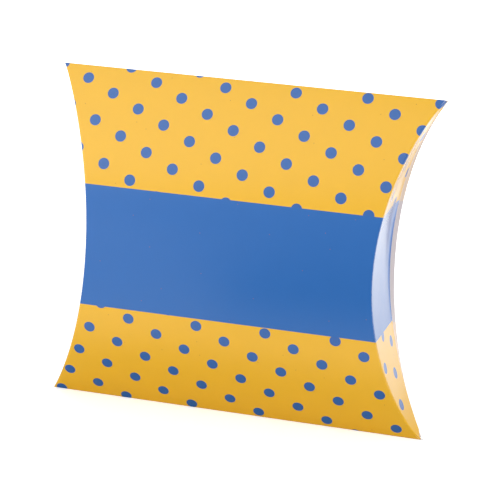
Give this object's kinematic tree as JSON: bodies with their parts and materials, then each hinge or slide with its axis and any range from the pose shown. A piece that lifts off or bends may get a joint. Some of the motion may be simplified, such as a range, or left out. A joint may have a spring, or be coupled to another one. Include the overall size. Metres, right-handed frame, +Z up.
{
  "type": "pillow box",
  "caption": "Pillow-shaped folding carton of printed card: bowed front and back panels, straight creases at top and bottom, and dished end flaps that fold open.",
  "frame": {"origin": "middle of the bottom crease, the lowest line of the upright box", "axes": "+X along the straight creases to the right, +Y from the front panel to the back panel, +Z up to the top crease"},
  "size_m": [0.12, 0.03, 0.105],
  "materials": {
    "printed_card": "coated card printed on the outside in yellow with blue dots and a plain blue band, with a soft gloss",
    "plain_card": "uncoated white card, matt",
    "adhesive": "dried film of paper adhesive"
  },
  "bodies": {
    "carton": {"front_panel": "printed_card", "back_panel": "printed_card", "glue_tab": "plain_card", "glue_line": "adhesive"},
    "right_outer": {"right_outer_flap": "printed_card"},
    "right_inner": {"right_inner_flap": "plain_card"},
    "left_outer": {"left_outer_flap": "printed_card"},
    "left_inner": {"left_inner_flap": "plain_card"}
  },
  "joints": [
    {"name": "right_outer_fold", "type": "hinge", "parent": "carton", "child": "right_outer", "pos_m": [0.045, -0.015, 0.0525], "axis": [0, 0, -1], "range_deg": [0, 120]},
    {"name": "right_inner_fold", "type": "hinge", "parent": "carton", "child": "right_inner", "pos_m": [0.045, 0.015, 0.0525], "axis": [0, 0, 1], "range_deg": [0, 78]},
    {"name": "left_outer_fold", "type": "hinge", "parent": "carton", "child": "left_outer", "pos_m": [-0.045, -0.015, 0.0525], "axis": [0, 0, 1], "range_deg": [0, 120]},
    {"name": "left_inner_fold", "type": "hinge", "parent": "carton", "child": "left_inner", "pos_m": [-0.045, 0.015, 0.0525], "axis": [0, 0, -1], "range_deg": [0, 78]}
  ],
  "couplings": [
    {"joint": "right_inner_fold", "follows": "right_outer_fold", "ratio": 0.65},
    {"joint": "left_inner_fold", "follows": "left_outer_fold", "ratio": 0.65}
  ]
}
